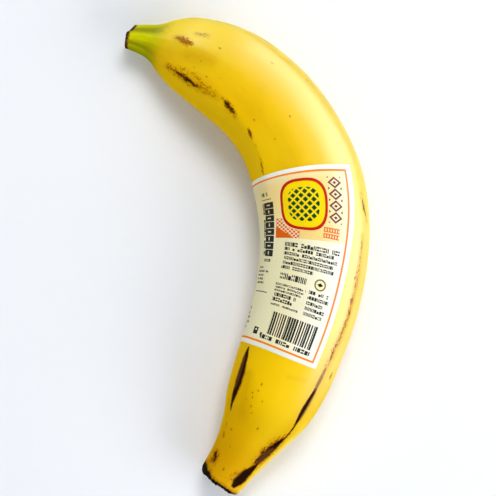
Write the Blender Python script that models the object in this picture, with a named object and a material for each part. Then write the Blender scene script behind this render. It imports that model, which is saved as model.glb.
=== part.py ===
"""A single ripe banana lying on its side, with a paper label pressed round its belly.

The fruit is one solid: rings that stand square to a curved centreline are bridged from the cut
stem to the blossom end. The label is a thin curved sheet that follows the skin under it.

Frame: +Z up. The line from the blossom end to the stem runs along +Y, the fruit bulges towards +X,
and the origin is under the middle of the fruit's box, on the surface that the fruit lies on.
"""

import bmesh
import bpy
import numpy as np

MM = 0.001

# The fruit at 18 places along its middle, from the cut end of the stem. Each row is one place:
# distance, lean (how far the fruit runs outwards there from the line of its two ends, in degrees),
# width seen from above, thickness from below to above, and height of the underside over the
# surface. Lengths are in millimetres. Where the underside is below the surface, it is cut flat.
STATIONS = np.array((
    (0.0, 70.0, 7.6, 7.6, 7.6),
    (5.0, 67.0, 9.6, 8.8, 6.8),
    (9.5, 60.5, 12.3, 11.2, 5.4),
    (14.0, 58.5, 18.2, 16.4, 3.6),
    (19.0, 57.0, 23.8, 22.0, 1.9),
    (26.0, 54.0, 28.0, 27.0, 0.7),
    (36.0, 47.0, 31.6, 30.8, 0.0),
    (50.0, 34.5, 33.2, 32.8, -0.3),
    (66.0, 18.5, 34.6, 34.0, -0.3),
    (84.0, 3.0, 36.7, 35.2, -0.3),
    (100.0, -11.0, 36.8, 35.6, -0.3),
    (117.0, -21.5, 35.8, 34.8, -0.3),
    (135.0, -30.5, 34.4, 33.4, -0.3),
    (152.0, -34.5, 32.8, 31.4, -0.1),
    (163.0, -38.5, 29.4, 28.2, 0.5),
    (173.0, -42.5, 22.8, 22.4, 1.4),
    (183.0, -46.5, 17.8, 17.6, 2.3),
    (191.0, -48.0, 15.8, 15.2, 2.8),
))
PLACES, LEANS, WIDTHS, THICKNESSES, UNDERSIDES = STATIONS.T
BODY_LENGTH = PLACES[-1]
BLUNT_END_LENGTH = 3.6
BLUNT_END_SQUARENESS = 2.4

# The stem was snapped off: its outer shoulder stands back from the rest of the cut.
SNAP_SETBACK = 2.6
SNAP_STARTS_AT = 0.25
SNAP_BLENDS_OVER = 9.0
CUT_BEVEL = 0.5

# Five ridges run the length of the skin. Each has its direction round the section, in degrees from
# the outer side over the top, and the height of its crest as a share of the section's radius, both
# at the distances in RIDGE_PLACES.
RIDGE_PLACES = np.array((0.0, 20.0, 50.0, 85.0, 145.0, 191.0))
RIDGES = {
    "outer": ((20, 30, 37, 33, 45, 48), (0.22, 0.12, 0.07, 0.06, 0.07, 0.09)),
    "crown": ((80, 82, 89, 92, 93, 93), (0.20, 0.10, 0.04, 0.02, 0.01, 0.02)),
    "inner": ((131, 125, 127, 138, 144, 147), (0.20, 0.12, 0.07, 0.06, 0.07, 0.09)),
    "lower_inner": ((206, 210, 214, 216, 218, 220), (0.20, 0.12, 0.08, 0.08, 0.08, 0.09)),
    "lower_outer": ((300, 302, 306, 308, 306, 304), (0.22, 0.12, 0.08, 0.08, 0.08, 0.09)),
}
CREST_SPREAD = np.radians(15.0)
CREST_ROUNDING = np.radians(5.0)

# The label's edges on the skin, as distances along the fruit or directions round it. Its outer
# edge shows from above, and its far edge is tucked under the inner side of the fruit.
LABEL_TOP_EDGE = (82.4, 77.1, 78.6)
LABEL_BOTTOM_EDGE = (143.9, 143.8, 146.2)
LABEL_OUTER_EDGE = (42.0, 54.8, 59.0)
LABEL_FAR_EDGE = 214.0
LABEL_GAP = 0.3
LABEL_THICKNESS = 0.35

SKIN_COLOUR = (0.83, 0.55, 0.02)
SKIN_ROUGHNESS = 0.42
PAPER_COLOUR = (0.87, 0.84, 0.70)
PAPER_ROUGHNESS = 0.55

# How finely the two meshes are divided.
SIDES = 40
RING_SPACING = 3.2
CUT_RINGS = (0.3, 0.65)
BLUNT_END_RINGS = 5
LABEL_CELLS_ALONG = 20
LABEL_CELLS_AROUND = 20
PATH_STEP = 0.25
DIRECTIONS = np.radians(np.arange(0.0, 360.0, 3.0))


def smooth(places, values, at):
    """A smooth curve through the values at these places, read at other places."""
    values = np.asarray(values, float)
    spans = np.diff(places)
    rises = np.diff(values) / spans
    slopes = np.empty_like(values)
    slopes[0], slopes[-1] = rises[0], rises[-1]
    slopes[1:-1] = (rises[:-1] * spans[1:] + rises[1:] * spans[:-1]) / (spans[:-1] + spans[1:])
    i = np.clip(np.searchsorted(places, at) - 1, 0, len(spans) - 1)
    t = (at - places[i]) / spans[i]
    return (
        values[i] * (1 + 2 * t) * (1 - t) ** 2
        + slopes[i] * spans[i] * t * (1 - t) ** 2
        + values[i + 1] * t * t * (3 - 2 * t)
        + slopes[i + 1] * spans[i] * t * t * (t - 1)
    )


def lean_at(at):
    return np.radians(smooth(PLACES, LEANS, np.minimum(at, BODY_LENGTH)))


def walk_along():
    """The fruit's middle, stepped off from the cut end of the stem: distance, x and y."""
    far_end = BODY_LENGTH + BLUNT_END_LENGTH + PATH_STEP
    distance = np.arange(0.0, far_end, PATH_STEP)
    lean = lean_at(distance[:-1] + PATH_STEP / 2)
    x = np.concatenate(([0.0], np.cumsum(np.sin(lean) * PATH_STEP)))
    y = np.concatenate(([0.0], np.cumsum(-np.cos(lean) * PATH_STEP)))
    return distance, x, y


PATH = walk_along()


def ridged_radius(at, direction):
    """The section's radius with its ridges on it, before it is brought to size."""
    radius = np.ones(np.broadcast(at, direction).shape)
    for directions, heights in RIDGES.values():
        crest = np.radians(smooth(RIDGE_PLACES, directions, at))
        height = smooth(RIDGE_PLACES, heights, at)
        apart = (direction - crest + np.pi) % (2 * np.pi) - np.pi
        fall = np.hypot(apart, CREST_ROUNDING) - CREST_ROUNDING
        radius += height * np.exp(-fall / CREST_SPREAD)
    return radius


def skin(at, direction, share=1.0):
    """Points in millimetres, at these distances along the fruit and directions round it.

    A share of 1 is on the skin, and a share of 0 is on the fruit's middle.
    """
    place = np.minimum(at, BODY_LENGTH)
    trial = ridged_radius(place[:, None], DIRECTIONS[None])
    trial_out, trial_up = trial * np.cos(DIRECTIONS), trial * np.sin(DIRECTIONS)
    radius = ridged_radius(place, direction)
    thickness = smooth(PLACES, THICKNESSES, place)

    def to_size(values, trial_values, size):
        low, high = trial_values.min(axis=1), trial_values.max(axis=1)
        return (values - (low + high) / 2) * size / (high - low) * share

    out = to_size(radius * np.cos(direction), trial_out, smooth(PLACES, WIDTHS, place))
    up = to_size(radius * np.sin(direction), trial_up, thickness)
    middle_height = smooth(PLACES, UNDERSIDES, place) + thickness / 2
    lean = lean_at(at)
    x = np.interp(at, PATH[0], PATH[1]) + out * np.cos(lean)
    y = np.interp(at, PATH[0], PATH[2]) + out * np.sin(lean)
    return np.stack((x, y, np.maximum(middle_height + up, 0.0)), axis=1)


def ring(at, share=1.0):
    """One ring of the skin. Near the stem's cut, its outer shoulder is drawn back."""
    direction = np.radians(np.arange(SIDES) * 360.0 / SIDES)
    across = share * np.cos(direction)
    shoulder = np.clip((across - SNAP_STARTS_AT) / (1 - SNAP_STARTS_AT), 0.0, 1.0)
    fade = max(1 - at / SNAP_BLENDS_OVER, 0.0)
    return skin(at + SNAP_SETBACK * fade * shoulder, direction, share)


def fruit_rings():
    """Every ring of the fruit, from the middle of the stem's cut to the blossom end."""
    rings = [ring(0.0, share) for share in CUT_RINGS]
    rings.append(ring(0.0, 1 - CUT_BEVEL / WIDTHS[0]))
    count = round((BODY_LENGTH - CUT_BEVEL) / RING_SPACING)
    rings += [ring(at) for at in np.linspace(CUT_BEVEL, BODY_LENGTH, count + 1)]
    for turn in np.linspace(0.0, np.pi / 2, BLUNT_END_RINGS + 2)[1:-1]:
        depth = np.sin(turn)
        share = (1 - depth**BLUNT_END_SQUARENESS) ** (1 / BLUNT_END_SQUARENESS)
        rings.append(ring(BODY_LENGTH + BLUNT_END_LENGTH * depth, share))
    return rings


def middle_of_box(rings):
    points = np.concatenate(rings)
    middle = (points.min(axis=0) + points.max(axis=0)) / 2
    return np.array((middle[0], middle[1], 0.0))


def finish_mesh(bm, name):
    """A mesh object made from the bmesh, with its faces pointing out and shaded smooth."""
    bmesh.ops.recalc_face_normals(bm, faces=bm.faces)
    mesh = bpy.data.meshes.new(name)
    bm.to_mesh(mesh)
    bm.free()
    mesh.shade_smooth()
    piece = bpy.data.objects.new(name, mesh)
    bpy.context.scene.collection.objects.link(piece)
    return piece


def make_fruit(rings, origin):
    """The banana, bridged ring by ring and closed with a fan of faces at each end."""
    bm = bmesh.new()
    loops = []
    for points in rings:
        corners = [bm.verts.new((point - origin) * MM) for point in points]
        loops.append([bm.edges.new((corners[i - 1], corners[i])) for i in range(SIDES)])
    for loop, following in zip(loops, loops[1:]):
        bmesh.ops.bridge_loops(bm, edges=loop + following)
    for end in (loops[0], loops[-1]):
        cap = bmesh.ops.edgeloop_fill(bm, edges=end)["faces"]
        bmesh.ops.poke(bm, faces=cap)
    return finish_mesh(bm, "banana")


def label_grid():
    """Distances and directions of the label's grid points on the skin, row by row."""
    halves = np.array((0.0, 0.5, 1.0))
    down, around = np.meshgrid(
        np.linspace(0.0, 1.0, LABEL_CELLS_ALONG + 1),
        np.linspace(0.0, 1.0, LABEL_CELLS_AROUND + 1),
        indexing="ij",
    )
    top = smooth(halves, LABEL_TOP_EDGE, around)
    bottom = smooth(halves, LABEL_BOTTOM_EDGE, around)
    outer = smooth(halves, LABEL_OUTER_EDGE, down)
    distance = top * (1 - down) + bottom * down
    direction = outer * (1 - around) + LABEL_FAR_EDGE * around
    return distance, np.radians(direction)


def make_label(origin):
    """The label: a sheet held just off the skin, thickened outwards."""
    distance, direction = label_grid()
    shape = distance.shape
    points = skin(distance.ravel(), direction.ravel()).reshape(*shape, 3)
    outwards = np.cross(np.gradient(points, axis=1), np.gradient(points, axis=0))
    outwards /= np.linalg.norm(outwards, axis=2, keepdims=True)
    points = points + outwards * LABEL_GAP - origin
    bm = bmesh.new()
    corners = [[bm.verts.new(point * MM) for point in row] for row in points]
    for upper, lower in zip(corners, corners[1:]):
        for i in range(LABEL_CELLS_AROUND):
            bm.faces.new((upper[i], upper[i + 1], lower[i + 1], lower[i]))
    bm.normal_update()
    label = finish_mesh(bm, "paper_label")
    solidify = label.modifiers.new("paper", "SOLIDIFY")
    solidify.thickness = LABEL_THICKNESS * MM
    solidify.offset = 1.0
    return label


def give_material(piece, name, colour, roughness):
    material = bpy.data.materials.new(name)
    material.use_nodes = True
    shader = material.node_tree.nodes["Principled BSDF"]
    shader.inputs["Base Color"].default_value = (*colour, 1.0)
    shader.inputs["Roughness"].default_value = roughness
    shader.inputs["Metallic"].default_value = 0.0
    piece.data.materials.append(material)


def main():
    for old in list(bpy.data.objects):
        bpy.data.objects.remove(old, do_unlink=True)
    rings = fruit_rings()
    origin = middle_of_box(rings)
    give_material(make_fruit(rings, origin), "banana_skin", SKIN_COLOUR, SKIN_ROUGHNESS)
    give_material(make_label(origin), "label_paper", PAPER_COLOUR, PAPER_ROUGHNESS)


if __name__ == "__main__":
    main()
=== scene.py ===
"""The finish of a ripe banana with a paper label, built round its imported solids.

Run as a script, it loads the solids as a fixed frame, puts a finely modelled piece in the place of
each, and adds the floor, the lights and the camera.
"""

import bpy
import numpy as np
from bpy.props import FloatProperty, FloatVectorProperty, IntProperty, PointerProperty
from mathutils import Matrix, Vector, noise


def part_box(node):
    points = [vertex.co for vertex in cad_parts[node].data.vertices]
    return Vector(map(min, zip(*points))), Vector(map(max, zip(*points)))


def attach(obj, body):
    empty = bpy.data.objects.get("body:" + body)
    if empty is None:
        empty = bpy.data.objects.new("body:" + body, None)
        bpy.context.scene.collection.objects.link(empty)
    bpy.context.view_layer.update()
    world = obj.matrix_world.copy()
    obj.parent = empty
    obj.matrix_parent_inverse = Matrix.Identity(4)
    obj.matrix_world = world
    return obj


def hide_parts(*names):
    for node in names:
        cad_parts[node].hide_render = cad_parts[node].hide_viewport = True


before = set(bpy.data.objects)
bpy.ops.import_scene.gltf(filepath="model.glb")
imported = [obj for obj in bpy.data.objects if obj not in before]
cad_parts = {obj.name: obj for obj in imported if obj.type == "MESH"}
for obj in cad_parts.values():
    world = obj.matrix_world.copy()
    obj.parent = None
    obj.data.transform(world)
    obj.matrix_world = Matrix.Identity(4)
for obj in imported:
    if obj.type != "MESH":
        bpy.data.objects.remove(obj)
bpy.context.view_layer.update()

bl_info = {
    "name": "Ripe Banana",
    "version": (1, 0, 0),
    "blender": (4, 5, 0),
    "location": "3D View > Sidebar > Banana",
    "description": "Builds a ripe banana with a paper label, lit as on a pale table",
    "category": "Add Mesh",
}

MM = 0.001

# The fruit's shape, as the solids have it. Each row is a place along the fruit's middle, from the
# cut end of the stem: distance, lean in degrees, width, thickness and height of the underside over
# the surface. Lengths are in millimetres.
STATIONS = np.array((
    (0, 70, 7.6, 7.6, 7.6),
    (5, 67, 9.6, 8.8, 6.8),
    (9.5, 60.5, 12.3, 11.2, 5.4),
    (14, 58.5, 18.2, 16.4, 3.6),
    (19, 57, 23.8, 22, 1.9),
    (26, 54, 28, 27, 0.7),
    (36, 47, 31.6, 30.8, 0),
    (50, 34.5, 33.2, 32.8, -0.3),
    (66, 18.5, 34.6, 34, -0.3),
    (84, 3, 36.7, 35.2, -0.3),
    (100, -11, 36.8, 35.6, -0.3),
    (117, -21.5, 35.8, 34.8, -0.3),
    (135, -30.5, 34.4, 33.4, -0.3),
    (152, -34.5, 32.8, 31.4, -0.1),
    (163, -38.5, 29.4, 28.2, 0.5),
    (173, -42.5, 22.8, 22.4, 1.4),
    (183, -46.5, 17.8, 17.6, 2.3),
    (191, -48, 15.8, 15.2, 2.8),
))
PLACES, LEANS, WIDTHS, THICKNESSES, UNDERSIDES = STATIONS.T
BODY_LENGTH = PLACES[-1]
BLUNT_END_LENGTH = 3.6
BLUNT_END_SQUARENESS = 2.4
SNAP_SETBACK = 2.6
SNAP_STARTS_AT = 0.25
SNAP_BLENDS_OVER = 9.0
PATH_STEP = 0.25

# The ridges: direction round the section in degrees from the outer side over the top, and height
# as a share of the section's radius, at the distances in RIDGE_PLACES.
RIDGE_PLACES = np.array((0, 20, 50, 85, 145, 191))
RIDGES = {
    "outer": ((20, 30, 37, 33, 45, 48), (0.22, 0.12, 0.07, 0.06, 0.07, 0.09)),
    "crown": ((80, 82, 89, 92, 93, 93), (0.2, 0.1, 0.04, 0.02, 0.01, 0.02)),
    "inner": ((131, 125, 127, 138, 144, 147), (0.2, 0.12, 0.07, 0.06, 0.07, 0.09)),
    "lower_inner": ((206, 210, 214, 216, 218, 220), (0.2, 0.12, 0.08, 0.08, 0.08, 0.09)),
    "lower_outer": ((300, 302, 306, 308, 306, 304), (0.22, 0.12, 0.08, 0.08, 0.08, 0.09)),
}
CREST_SPREAD = np.radians(15.0)
CREST_ROUNDING = np.radians(5.0)

# The label's edges on the skin, as in the solids, and its print's own flat size.
LABEL_TOP_EDGE = (82.4, 77.1, 78.6)
LABEL_BOTTOM_EDGE = (143.9, 143.8, 146.2)
LABEL_OUTER_EDGE = (42.0, 54.8, 59.0)
LABEL_FAR_EDGE = 214.0
PRINT_WIDTH = 53.0
PRINT_HEIGHT = 68.0
PRINT_TRIM = 0.6

# How the skin is mapped: once round in U, and from the cut's middle to the blossom end in V.
CUT_RADIUS = 3.8
END_RADIUS = 7.8
MAP_LENGTH = CUT_RADIUS + BODY_LENGTH + BLUNT_END_LENGTH + END_RADIUS
MAP = "OFBake"
PRINT_MAP = "print"
STRAIGHT_RADIUS = 17.0

# How many rows of points close the cut and the blossom end, and the label's rows and columns.
CUT_ROWS = 12
END_ROWS = 20
LABEL_ROWS = 181
LABEL_COLUMNS = 141
MOST_OUT_OF_SIZE = 0.5

# How the label's flat map is shared out in U: the print, a strip for its cut edges, and its back.
PRINT_SHARE = 0.93
EDGES_FROM = 0.935
EDGES_SHARE = 0.01
BACK_FROM = 0.95

# Marks on the skin. Each is how strong it is, and then the places it runs through: distance along
# the fruit, direction round it in degrees and half width in millimetres. A weak scar or bruise
# breaks up into specks. A freckle is its place and its half width.
SLIVERS = (
    (1.15, (145.2, 141.4, 0.25), (146.2, 141.6, 0.49), (149.8, 141.2, 0.98), (154.2, 140.4, 1.3),
     (158.8, 140.6, 1.18), (163.4, 141.4, 0.8), (165.8, 142.2, 0.45), (168.8, 142.4, 0.2)),
    (1.15, (149.6, 48.4, 0.34), (152.8, 49, 0.56), (155, 49.8, 0.66), (157.2, 50.4, 0.66),
     (159.5, 50, 0.56), (161.5, 49, 0.46), (163.7, 47.6, 0.34), (165.7, 46.6, 0.29),
     (168, 45.4, 0.32)),
    (1, (167.8, 44.8, 0.32), (169.1, 46.2, 0.58), (170, 47.6, 0.92), (171.5, 48.4, 1.4),
     (173, 48.8, 1.3), (175.1, 50.2, 1.7), (177.5, 51.6, 1), (180.2, 51, 0.55)),
    (1.25, (180.6, 49, 0.4), (182.4, 51.2, 0.92), (184.4, 53.6, 1.5), (186.8, 55.2, 1.78),
     (188.4, 57.4, 1.62), (190.3, 58.2, 0.8)),
)
SCARS = (
    (0.6, (19.1, 125, 0.45), (20.6, 124, 0.4)),
    (1, (21, 123, 0.32), (22.6, 125, 0.64), (24.2, 124, 0.6), (25.6, 126.4, 0.92),
     (27.4, 125.6, 0.7), (29, 128, 0.62), (30.6, 126.4, 0.42)),
    (0.62, (30.2, 126, 0.5), (32.6, 124.4, 0.46), (35, 122.6, 0.36)),
    (1, (42.7, 122.4, 0.42), (44, 123.4, 0.92), (45.7, 124.4, 0.74), (47, 125.6, 0.74),
     (48.5, 126.8, 0.28)),
    (1.05, (57.3, 127, 0.32), (58.7, 128.2, 0.6), (60.2, 129.6, 0.32)),
    (0.75, (70.4, 133.2, 0.28), (73.2, 135.6, 0.36), (76, 137.6, 0.28)),
    (0.92, (168.2, 48.6, 0.6), (171.4, 52, 0.8), (173.6, 55.4, 0.6)),
    (0.85, (172.4, 52, 0.9), (174.6, 56.4, 0.9), (176.2, 59.6, 0.5)),
    (0.8, (175.6, 53.6, 0.9), (177.4, 57, 0.7), (180.2, 54.6, 0.7)),
    (0.9, (181.2, 53.6, 0.6), (185.4, 58, 0.9), (189, 62, 0.7)),
    (0.72, (173.5, 143.2, 0.25), (175.2, 142.4, 0.25)),
    (0.8, (177, 143.6, 0.28), (178.6, 140.4, 0.38)),
    (0.98, (184.9, 141.6, 0.5), (185.9, 137.6, 0.95), (187.4, 134.4, 0.66)),
    (0.58, (187.8, 144, 1.1), (187.7, 134.4, 0.9)),
    (0.92, (92.6, 34, 0.28), (94.6, 32.4, 0.54), (96.4, 28.6, 0.3)),
    (0.92, (120.4, 42.6, 0.42), (121.3, 41.4, 0.46)),
    (0.9, (124.3, 40.2, 0.4), (124.9, 39.6, 0.38)),
    (0.85, (126.6, 43.6, 0.28), (127.4, 43, 0.28)),
    (0.8, (113.9, 42.8, 0.28), (114.5, 42.8, 0.28)),
    (0.62, (132, 43.6, 0.34), (138, 45.4, 0.4), (143.5, 47, 0.42)),
)
SCUFFS = (
    (0.95, (142.8, 47.2, 0.34), (146, 47.8, 0.62), (148.6, 48.6, 0.6), (151, 48.2, 0.45),
     (158, 47.4, 0.45), (161, 46.6, 0.28)),
    (1.1, (148, 143.2, 0.3), (154.4, 143, 0.74), (159, 142.8, 0.6), (162.6, 143, 0.25)),
    (1, (173.4, 48.4, 0.5), (175.6, 50, 1.4), (177.8, 51, 1.3), (180, 51, 0.7)),
)
BRUISES = (
    (0.98, (16.8, 75, 0.4), (18.6, 76.2, 0.72), (20.6, 77, 0.7)),
    (1, (19, 78.4, 0.55), (20.8, 79.6, 0.92), (22.8, 79.8, 0.55)),
    (0.7, (20.6, 81, 0.4), (21.6, 83.5, 0.5)),
    (0.62, (17.3, 72, 0.25), (19.6, 75.2, 0.36)),
    (0.5, (23.2, 62, 0.55), (25.8, 60.6, 0.62)),
    (0.32, (21.6, 117.6, 0.8), (26.2, 115.4, 1), (30.2, 117.4, 0.9)),
    (0.56, (18, 124, 0.9), (26, 126.4, 1.5), (31, 126.4, 1.7), (38, 122.6, 1)),
    (0.62, (41.5, 121.6, 0.7), (45.5, 124.4, 1.2), (49.6, 127.6, 0.55)),
    (0.64, (57, 126.8, 0.5), (59, 128.2, 0.8), (61, 129.8, 0.45)),
    (0.5, (69, 132.6, 0.35), (73.2, 135.6, 0.55), (77.5, 138.8, 0.4)),
    (0.28, (60, 130, 0.45), (68, 133, 0.45)),
    (0.5, (90.8, 35.5, 0.7), (97.6, 27.5, 0.7)),
    (0.62, (103.8, 38.2, 0.4), (110.4, 39.4, 0.55), (118.3, 40.8, 0.62), (124.6, 40.6, 0.62),
     (130.6, 42.8, 0.78), (138, 45.2, 0.78), (143.4, 47, 0.8)),
    (1, (143.5, 30.2, 0.26), (144.7, 29, 0.52), (145.9, 28.2, 0.26)),
    (0.7, (166.5, 46.4, 0.6), (171, 49.6, 2), (176, 52, 2.2), (180.5, 51.4, 1.3)),
    (0.55, (185, 141, 1.3), (187.4, 135, 1.5)),
    (0.45, (186, 72, 0.9), (189, 80, 0.9)),
)
SMUDGES = (
    (0.75, (154, 130, 2), (160, 127, 3.6), (167, 122, 2.6)),
    (0.7, (23, 95, 2.4), (27.2, 92, 3.2), (31, 90, 2.4)),
    (0.6, (22.6, 62.4, 0.9), (26.2, 60.4, 1.2)),
    (0.55, (17, 75, 1.2), (20, 78, 1.8), (23, 80, 1)),
    (0.8, (17, 124, 1.4), (25, 125.4, 2.6), (31, 123.6, 2.8), (40, 122.6, 1.4)),
    (0.5, (41, 121, 1.4), (46, 124.6, 2.2), (50, 128, 1.4)),
    (0.45, (9, 118, 1), (17, 122, 1.6)),
    (0.75, (102, 38, 0.9), (114, 40, 1.6), (132, 43.6, 2), (146, 47.4, 2.2), (160, 50, 2.4),
     (172, 53, 3), (186, 58, 2.6)),
    (0.55, (184, 140, 2.2), (188, 134, 2.6)),
    (0.4, (148.6, 66, 1.2), (149.4, 84, 1.2)),
)
FRECKLES = (
    (26.7, 123, 0.4), (32, 110, 0.38), (26.4, 107, 0.34), (27.8, 96, 0.34), (31.4, 72, 0.42),
    (46.7, 52, 0.45), (56.7, 33, 0.42), (62.2, 81, 0.38), (55.7, 115, 0.42), (36.5, 104, 0.28),
    (39, 96, 0.26), (66, 108, 0.26), (155, 110, 0.44), (157.4, 111, 0.42), (159, 117, 0.34),
    (160.5, 115, 0.36), (163.5, 112, 0.4), (160.2, 101, 0.34), (162, 122, 0.28), (165.5, 108, 0.28),
    (169.2, 90, 0.44), (174.4, 130, 0.42), (187.5, 103, 0.46), (151, 96, 0.26), (176, 82, 0.26),
    (180, 118, 0.28), (25.4, 118.4, 0.3), (28.2, 117, 0.28), (31.6, 119, 0.34), (33.2, 116.2, 0.28),
    (34.8, 119.4, 0.28), (29.6, 131, 0.26), (36.8, 118.6, 0.26), (22.6, 119, 0.26),
    (43.4, 118.6, 0.26), (49.6, 123, 0.26),
)
MARKS = {
    "sliver": SLIVERS, "scar": SCARS, "scuff": SCUFFS, "bruise": BRUISES, "smudge": SMUDGES,
    "freckle": [(1, (at, turn, size), (at + size, turn, size)) for at, turn, size in FRECKLES],
}


def smooth(places, values, at):
    """A smooth curve through the values at these places, read at other places."""
    values = np.asarray(values, float)
    spans = np.diff(places)
    rises = np.diff(values) / spans
    slopes = np.empty_like(values)
    slopes[0], slopes[-1] = rises[0], rises[-1]
    slopes[1:-1] = (rises[:-1] * spans[1:] + rises[1:] * spans[:-1]) / (spans[:-1] + spans[1:])
    i = np.clip(np.searchsorted(places, at) - 1, 0, len(spans) - 1)
    t = (at - places[i]) / spans[i]
    return (
        values[i] * (1 + 2 * t) * (1 - t) ** 2
        + slopes[i] * spans[i] * t * (1 - t) ** 2
        + values[i + 1] * t * t * (3 - 2 * t)
        + slopes[i + 1] * spans[i] * t * t * (t - 1)
    )


def ease(value, low, high):
    """0 below low, 1 above high, and a soft step between."""
    t = np.clip((value - low) / (high - low), 0, 1)
    return t * t * (3 - 2 * t)


def lean_at(at):
    """The lean of the fruit's middle at this distance along it, in radians."""
    return np.radians(smooth(PLACES, LEANS, np.minimum(at, BODY_LENGTH)))


def girth_at(at):
    """Half the fruit's width at this distance along it."""
    return smooth(PLACES, WIDTHS, np.minimum(at, BODY_LENGTH)) / 2


def walk_along():
    """The fruit's middle, stepped off from the cut end of the stem: distance, x and y."""
    distance = np.arange(0, BODY_LENGTH + BLUNT_END_LENGTH + PATH_STEP, PATH_STEP)
    lean = lean_at(distance[:-1] + PATH_STEP / 2)
    ways = np.stack((np.sin(lean), -np.cos(lean))) * PATH_STEP
    return distance, *(np.append(0, np.cumsum(way)) for way in ways)


def ridged_radius(at, direction):
    """The section's radius with its ridges on it, before it is brought to size."""
    radius = np.ones(np.broadcast(at, direction).shape)
    for directions, heights in RIDGES.values():
        crest = np.radians(smooth(RIDGE_PLACES, directions, at))
        height = smooth(RIDGE_PLACES, heights, at)
        apart = (direction - crest + np.pi) % (2 * np.pi) - np.pi
        fall = np.hypot(apart, CREST_ROUNDING) - CREST_ROUNDING
        radius = radius + height * np.exp(-fall / CREST_SPREAD)
    return radius


class Skin:
    """The fruit's surface in millimetres, worked out once and then read at any place on it."""

    def __init__(self):
        self.path = walk_along()
        self.places = np.linspace(0, BODY_LENGTH, 400)
        around = np.radians(np.arange(0, 360, 3))
        trial = ridged_radius(self.places[:, None], around[None])
        out, up = trial * np.cos(around), trial * np.sin(around)
        self.limits = (out.min(axis=1), out.max(axis=1), up.min(axis=1), up.max(axis=1))
        self.origin = np.zeros(3)

    def plain(self, at, direction, share=1):
        """Points on the surface without its fine relief. A share of 0 is on the middle."""
        place = np.clip(at, 0, BODY_LENGTH)
        radius = ridged_radius(place, direction)
        low_out, high_out, low_up, high_up = (
            np.interp(place, self.places, limit) for limit in self.limits
        )
        width = smooth(PLACES, WIDTHS, place)
        thickness = smooth(PLACES, THICKNESSES, place)
        out = radius * np.cos(direction) - (low_out + high_out) / 2
        out *= width / (high_out - low_out) * share
        up = radius * np.sin(direction) - (low_up + high_up) / 2
        up *= thickness / (high_up - low_up) * share
        lean = lean_at(at)
        x = np.interp(at, self.path[0], self.path[1]) + out * np.cos(lean)
        y = np.interp(at, self.path[0], self.path[2]) + out * np.sin(lean)
        z = smooth(PLACES, UNDERSIDES, place) + thickness / 2 + up
        return np.stack((x, y, np.maximum(z, 0)), axis=-1) - self.origin

    def centre_on(self, node):
        """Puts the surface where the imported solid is, and stops if it isn't the same size."""
        _, at, direction, share = fruit_grid(200, 120)
        points = self.plain(at + snap_setback(at, direction, share), direction, share)
        low, high = points.min(axis=(0, 1)), points.max(axis=(0, 1))
        box_low, box_high = (np.array(corner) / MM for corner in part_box(node))
        if np.abs((high - low) - (box_high - box_low)).max() > MOST_OUT_OF_SIZE:
            raise RuntimeError(f"{node} isn't the shape that this script repeats")
        middle = (low + high) / 2 - (box_low + box_high) / 2
        self.origin = np.array((middle[0], middle[1], 0))


def snap_setback(at, direction, share):
    """How far the outer shoulder of the stem's cut is drawn back along the fruit."""
    shoulder = np.clip((share * np.cos(direction) - SNAP_STARTS_AT) / (1 - SNAP_STARTS_AT), 0, 1)
    return SNAP_SETBACK * np.maximum(1 - at / SNAP_BLENDS_OVER, 0) * shoulder


def straightened(at, direction):
    """The place a point would have if the fruit were a straight round bar, in millimetres."""
    x, y = STRAIGHT_RADIUS * np.cos(direction), STRAIGHT_RADIUS * np.sin(direction)
    return np.stack((x, y, at), axis=-1)


def wobble(places, size, stretch=1):
    """Smooth noise from -1 to 1 at these places, with lumps of that size in millimetres."""
    scale = np.array((1 / size, 1 / size, 1 / (size * stretch)))
    flat = (places * scale).reshape(-1, 3)
    values = np.fromiter((noise.noise(Vector(p)) for p in flat), float, len(flat))
    return values.reshape(places.shape[:-1])


def closeness(at, direction, marks):
    """How near each point is to the nearest mark: its strength on its line, and less beyond."""
    girth = girth_at(at)
    nearest = np.zeros(at.shape)
    for strength, *turns in marks:
        for start, end in zip(turns, turns[1:]):
            along, around = at - start[0], (direction - np.radians(start[1])) * girth
            run_along = end[0] - start[0]
            run_around = np.radians(end[1] - start[1]) * girth_at((start[0] + end[0]) / 2)
            t = (along * run_along + around * run_around) / (run_along**2 + run_around**2)
            t = np.clip(t, 0, 1)
            away = np.hypot(along - t * run_along, around - t * run_around)
            half_width = start[2] * (1 - t) + end[2] * t
            nearest = np.maximum(nearest, strength * (1 - away / (2 * half_width)))
    return nearest


def skin_relief(at, direction):
    """How far the skin stands out from the plain shape, in millimetres."""
    places = straightened(at, direction)
    body = ease(at, 6, 22)
    lumps = 0.14 * wobble(places, 14, 2.4) + 0.04 * wobble(places, 5, 2)
    strands = 0.03 * wobble(places, 2.2, 14)
    stem_strands = 0.07 * wobble(places, 2.6, 9)
    scars = ease(closeness(at, direction, SCARS + SLIVERS), 0.35, 0.9)
    return body * (lumps + strands) + (1 - body) * stem_strands - 0.1 * scars


def normals_of(points, closed_round=False):
    """Outward normals of a grid whose rows run along the fruit and columns round it."""
    around = np.gradient(points, axis=1)
    if closed_round:
        around = (np.roll(points, -1, axis=1) - np.roll(points, 1, axis=1)) / 2
    normals = np.cross(around, np.gradient(points, axis=0))
    length = np.linalg.norm(normals, axis=2, keepdims=True)
    return normals / np.maximum(length, 1e-9)


def grid_faces(index, closed_round=False):
    """Four-sided faces between a grid of point numbers."""
    after = np.roll(index, -1, axis=1)
    if not closed_round:
        index, after = index[:, :-1], after[:, :-1]
    return np.stack((index[:-1], after[:-1], after[1:], index[1:]), axis=-1).reshape(-1, 4)


def mesh_of(name, points, faces):
    """A mesh from points in millimetres and the numbers of each face's corners."""
    mesh = bpy.data.meshes.new(name)
    mesh.from_pydata((points.reshape(-1, 3) * MM).tolist(), [], faces.tolist())
    return mesh


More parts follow.
